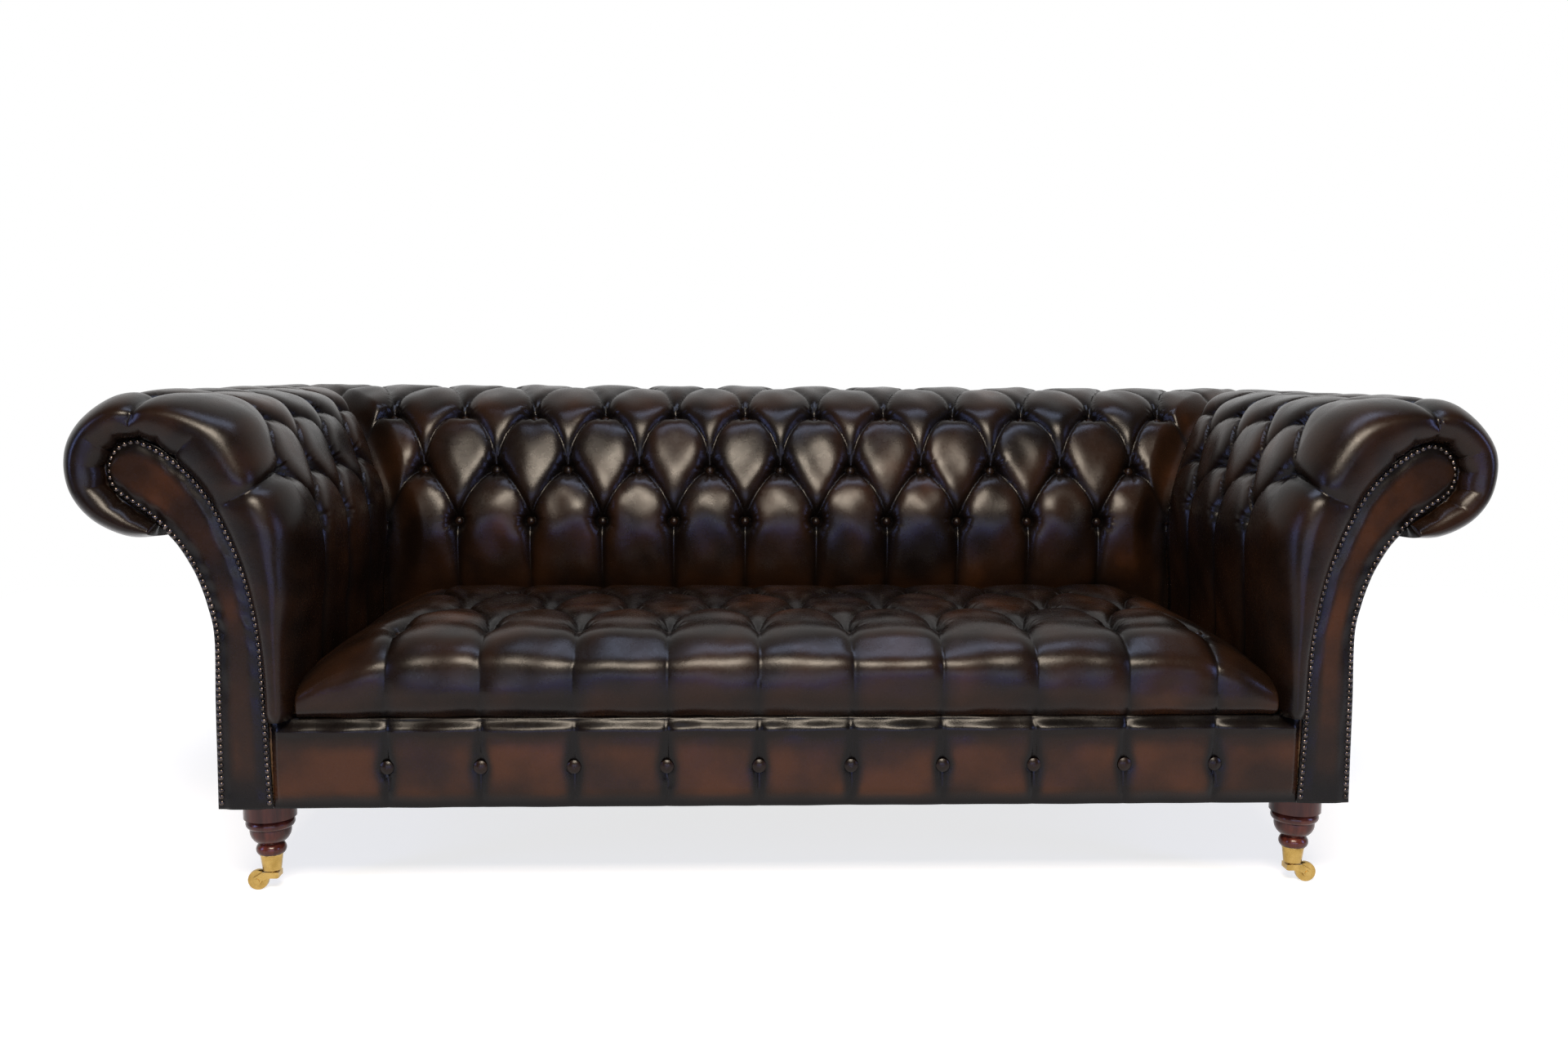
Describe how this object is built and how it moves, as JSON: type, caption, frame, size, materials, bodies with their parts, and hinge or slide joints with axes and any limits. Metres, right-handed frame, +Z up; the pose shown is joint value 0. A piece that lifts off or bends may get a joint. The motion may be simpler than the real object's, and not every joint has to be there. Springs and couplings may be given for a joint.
{
  "type": "chesterfield sofa",
  "caption": "Long chesterfield sofa with rolled arms level with the back, a deep-buttoned leather seat, studded scroll facings and turned legs on castors.",
  "frame": {"origin": "on the floor, under the middle of the sofa's bounding box", "axes": "+X along the sofa to the right as seen from its front, +Y from the front to the back, +Z up"},
  "size_m": [2.194, 0.947, 0.8046],
  "materials": {
    "leather": "hand-rubbed antique brown, semi-gloss",
    "dark_wood": "dark mahogany stain, glossy polish",
    "brass": "satin",
    "antique_brass": "dark antique, glossy",
    "steel": "plain",
    "foam": "matt upholstery foam",
    "webbing": "woven jute",
    "dust_cloth": "black non-woven",
    "board": "hardboard",
    "beech": "sawn beech and birch ply"
  },
  "bodies": {
    "sofa": {"arm_buttons": "leather", "arm_rear_boards": "beech", "arm_tack_rails": "beech", "arm_top_rails": "beech", "arm_webbing": "webbing", "back_buttons": "leather", "back_cover": "leather", "back_foam": "foam", "back_ribs": "beech", "back_tack_rails": "beech", "back_top_rail": "beech", "back_webbing": "webbing", "border_backing": "board", "border_buttons": "leather", "castor_sockets": "brass", "castor_swivel_pins": "brass", "corner_blocks": "beech", "dust_cover": "dust_cloth", "facing_nails": "antique_brass", "front_border": "leather", "front_left_leg": "dark_wood", "front_rail": "beech", "front_right_leg": "dark_wood", "left_arm_cover": "leather", "left_arm_facing": "leather", "left_arm_foam": "foam", "left_arm_front_board": "beech", "left_outside_arm": "leather", "left_side_rail": "beech", "leg_bolts": "steel", "outside_back": "leather", "rear_left_leg": "dark_wood", "rear_rail": "beech", "rear_right_leg": "dark_wood", "right_arm_cover": "leather", "right_arm_facing": "leather", "right_arm_foam": "foam", "right_arm_front_board": "beech", "right_outside_arm": "leather", "right_side_rail": "beech", "seat_buttons": "leather", "seat_cover": "leather", "seat_cross_rails": "beech", "seat_foam": "foam", "seat_hessian": "webbing", "seat_springs": "steel", "spring_clips": "steel"},
    "front_left_castor": {"front_left_castor_horn": "brass", "front_left_castor_axle": "brass"},
    "front_left_wheel": {"front_left_castor_wheel": "brass"},
    "front_right_castor": {"front_right_castor_horn": "brass", "front_right_castor_axle": "brass"},
    "front_right_wheel": {"front_right_castor_wheel": "brass"},
    "rear_left_castor": {"rear_left_castor_horn": "brass", "rear_left_castor_axle": "brass"},
    "rear_left_wheel": {"rear_left_castor_wheel": "brass"},
    "rear_right_castor": {"rear_right_castor_horn": "brass", "rear_right_castor_axle": "brass"},
    "rear_right_wheel": {"rear_right_castor_wheel": "brass"}
  },
  "joints": [
    {"name": "front_left_swivel", "type": "hinge", "parent": "sofa", "child": "front_left_castor", "pos_m": [-0.834, -0.3535, 0.026], "axis": [0, 0, 1], "continuous": true},
    {"name": "front_left_roll", "type": "hinge", "parent": "front_left_castor", "child": "front_left_wheel", "pos_m": [-0.856, -0.3535, 0.0165], "axis": [0, -1, 0], "continuous": true},
    {"name": "front_right_swivel", "type": "hinge", "parent": "sofa", "child": "front_right_castor", "pos_m": [0.834, -0.3535, 0.026], "axis": [0, 0, 1], "continuous": true},
    {"name": "front_right_roll", "type": "hinge", "parent": "front_right_castor", "child": "front_right_wheel", "pos_m": [0.856, -0.3535, 0.0165], "axis": [0, 1, 0], "continuous": true},
    {"name": "rear_left_swivel", "type": "hinge", "parent": "sofa", "child": "rear_left_castor", "pos_m": [-0.834, 0.1815, 0.026], "axis": [0, 0, 1], "continuous": true},
    {"name": "rear_left_roll", "type": "hinge", "parent": "rear_left_castor", "child": "rear_left_wheel", "pos_m": [-0.834, 0.2035, 0.0165], "axis": [-1, 0, 0], "continuous": true},
    {"name": "rear_right_swivel", "type": "hinge", "parent": "sofa", "child": "rear_right_castor", "pos_m": [0.834, 0.1815, 0.026], "axis": [0, 0, 1], "continuous": true},
    {"name": "rear_right_roll", "type": "hinge", "parent": "rear_right_castor", "child": "rear_right_wheel", "pos_m": [0.834, 0.2035, 0.0165], "axis": [-1, 0, 0], "continuous": true}
  ]
}
